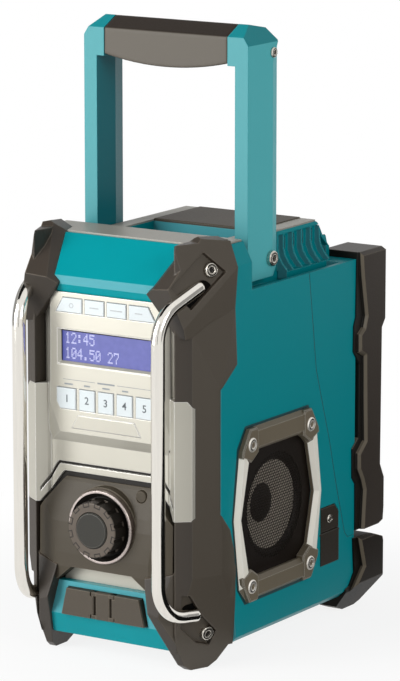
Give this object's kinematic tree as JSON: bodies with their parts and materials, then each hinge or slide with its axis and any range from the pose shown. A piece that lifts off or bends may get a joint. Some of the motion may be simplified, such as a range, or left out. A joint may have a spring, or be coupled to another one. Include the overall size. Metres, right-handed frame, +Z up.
{
  "type": "jobsite radio",
  "caption": "Rugged portable radio with corner bumpers, guard bars, side speakers, front display, knob and keys, a battery bay behind, and a folding carry handle.",
  "frame": {"origin": "on the ground, under the middle of the whole radio's outside box", "axes": "+X to the right seen from the front, the front faces -Y, +Z up"},
  "size_m": [0.163, 0.2659, 0.4319],
  "materials": {
    "teal_shell": "satin",
    "grey_trim": "matt",
    "dark_rubber": "matt",
    "silver_panel": "satin silver paint",
    "display_glass": "gloss",
    "dark_plastic": "matt",
    "panel_grey": "satin",
    "chrome_ring": "polished",
    "knob_grey": "satin",
    "knob_metal": "satin",
    "board_green": "matt",
    "button_dark": "matt",
    "bumper_rubber": "matt",
    "chrome_bar": "polished",
    "frame_grey": "satin",
    "grille_metal": "matt",
    "driver_black": "matt",
    "grip_rubber": "matt",
    "steel_screw": "plain",
    "steel_jack": "plain",
    "port_rubber": "matt",
    "key_white": "satin"
  },
  "bodies": {
    "cabinet": {"front_cabinet": "teal_shell", "rear_cabinet": "teal_shell", "ledge_trim": "grey_trim", "top_rails": "grey_trim", "top_pad": "dark_rubber", "fascia": "silver_panel", "display_lens": "display_glass", "display_module": "dark_plastic", "control_panel": "panel_grey", "knob_bezel": "chrome_ring", "encoder": "board_green", "front_bumper_right": "bumper_rubber", "front_bumper_left": "bumper_rubber", "guard_bar_right": "chrome_bar", "guard_bar_left": "chrome_bar", "rear_bumper_right": "bumper_rubber", "rear_bumper_left": "bumper_rubber", "rear_foot_right": "bumper_rubber", "rear_foot_left": "bumper_rubber", "speaker_frame_right": "frame_grey", "speaker_frame_left": "frame_grey", "speaker_grille_right": "grille_metal", "speaker_grille_left": "grille_metal", "speaker_driver_right": "driver_black", "speaker_driver_left": "driver_black", "handle_pivot_bolts": "steel_screw", "door_hinge_pin": "steel_screw", "battery_tub": "dark_plastic", "terminal_block": "dark_plastic", "key_board": "board_green", "main_board": "board_green", "usb_jack": "steel_jack", "aux_jack": "dark_plastic", "power_jack": "dark_plastic", "cover_keeper": "port_rubber", "inlet_cover_tab": "port_rubber", "inlet_screw": "steel_screw", "bumper_screws": "steel_screw", "speaker_frame_screws": "steel_screw"},
    "handle": {"handle_frame": "teal_shell", "handle_grip": "grip_rubber", "antenna_rod": "steel_screw", "handle_screws": "steel_screw"},
    "battery_door": {"battery_door": "teal_shell"},
    "knob_dial": {"knob_dial": "knob_grey"},
    "knob_cap": {"knob_cap": "knob_metal"},
    "round_button": {"round_button": "button_dark"},
    "port_cover_right": {"port_cover_right": "port_rubber"},
    "port_cover_left": {"port_cover_left": "port_rubber"},
    "inlet_cover_flap": {"inlet_cover_flap": "port_rubber"},
    "door_latch": {"door_latch": "dark_plastic"},
    "mode_key_1": {"mode_key_1": "key_white"},
    "mode_key_2": {"mode_key_2": "key_white"},
    "mode_key_3": {"mode_key_3": "key_white"},
    "mode_key_4": {"mode_key_4": "key_white"},
    "preset_key_1": {"preset_key_1": "key_white"},
    "preset_key_2": {"preset_key_2": "key_white"},
    "preset_key_3": {"preset_key_3": "key_white"},
    "preset_key_4": {"preset_key_4": "key_white"},
    "preset_key_5": {"preset_key_5": "key_white"}
  },
  "joints": [
    {"name": "handle_fold", "type": "hinge", "parent": "cabinet", "child": "handle", "pos_m": [0, -0.0048, 0.2713], "axis": [-1, 0, 0], "range_deg": [0, 85]},
    {"name": "knob_turn", "type": "hinge", "parent": "cabinet", "child": "knob_dial", "pos_m": [0, -0.1124, 0.0965], "axis": [0, 1, 0], "continuous": true},
    {"name": "knob_push", "type": "slide", "parent": "knob_dial", "child": "knob_cap", "axis": [0, 1, 0], "range_m": [0, 0.001], "stiffness_N_per_m": 1500},
    {"name": "mode_key_1_press", "type": "slide", "parent": "cabinet", "child": "mode_key_1", "axis": [0, 1, 0], "range_m": [0, 0.001], "stiffness_N_per_m": 900},
    {"name": "mode_key_2_press", "type": "slide", "parent": "cabinet", "child": "mode_key_2", "axis": [0, 1, 0], "range_m": [0, 0.001], "stiffness_N_per_m": 900},
    {"name": "mode_key_3_press", "type": "slide", "parent": "cabinet", "child": "mode_key_3", "axis": [0, 1, 0], "range_m": [0, 0.001], "stiffness_N_per_m": 900},
    {"name": "mode_key_4_press", "type": "slide", "parent": "cabinet", "child": "mode_key_4", "axis": [0, 1, 0], "range_m": [0, 0.001], "stiffness_N_per_m": 900},
    {"name": "preset_key_1_press", "type": "slide", "parent": "cabinet", "child": "preset_key_1", "axis": [0, 1, 0], "range_m": [0, 0.001], "stiffness_N_per_m": 900},
    {"name": "preset_key_2_press", "type": "slide", "parent": "cabinet", "child": "preset_key_2", "axis": [0, 1, 0], "range_m": [0, 0.001], "stiffness_N_per_m": 900},
    {"name": "preset_key_3_press", "type": "slide", "parent": "cabinet", "child": "preset_key_3", "axis": [0, 1, 0], "range_m": [0, 0.001], "stiffness_N_per_m": 900},
    {"name": "preset_key_4_press", "type": "slide", "parent": "cabinet", "child": "preset_key_4", "axis": [0, 1, 0], "range_m": [0, 0.001], "stiffness_N_per_m": 900},
    {"name": "preset_key_5_press", "type": "slide", "parent": "cabinet", "child": "preset_key_5", "axis": [0, 1, 0], "range_m": [0, 0.001], "stiffness_N_per_m": 900},
    {"name": "round_button_press", "type": "slide", "parent": "cabinet", "child": "round_button", "axis": [0, 1, 0], "range_m": [0, 0.001], "stiffness_N_per_m": 900},
    {"name": "right_port_cover_swing", "type": "hinge", "parent": "cabinet", "child": "port_cover_right", "pos_m": [0.0084, -0.1116, 0.04], "axis": [0, 0, -1], "range_deg": [0, 90]},
    {"name": "left_port_cover_swing", "type": "hinge", "parent": "cabinet", "child": "port_cover_left", "pos_m": [-0.0084, -0.1116, 0.04], "axis": [0, 0, 1], "range_deg": [0, 90]},
    {"name": "inlet_flap_swing", "type": "hinge", "parent": "cabinet", "child": "inlet_cover_flap", "pos_m": [0.0753, 0.06, 0.0664], "axis": [0, -1, 0], "range_deg": [0, 90]},
    {"name": "battery_door_swing", "type": "hinge", "parent": "cabinet", "child": "battery_door", "pos_m": [0, 0.1166, 0.062], "axis": [-1, 0, 0], "range_deg": [0, 95]},
    {"name": "door_latch_slide", "type": "slide", "parent": "battery_door", "child": "door_latch", "axis": [0, 0, -1], "range_m": [0, 0.004], "stiffness_N_per_m": 400}
  ]
}
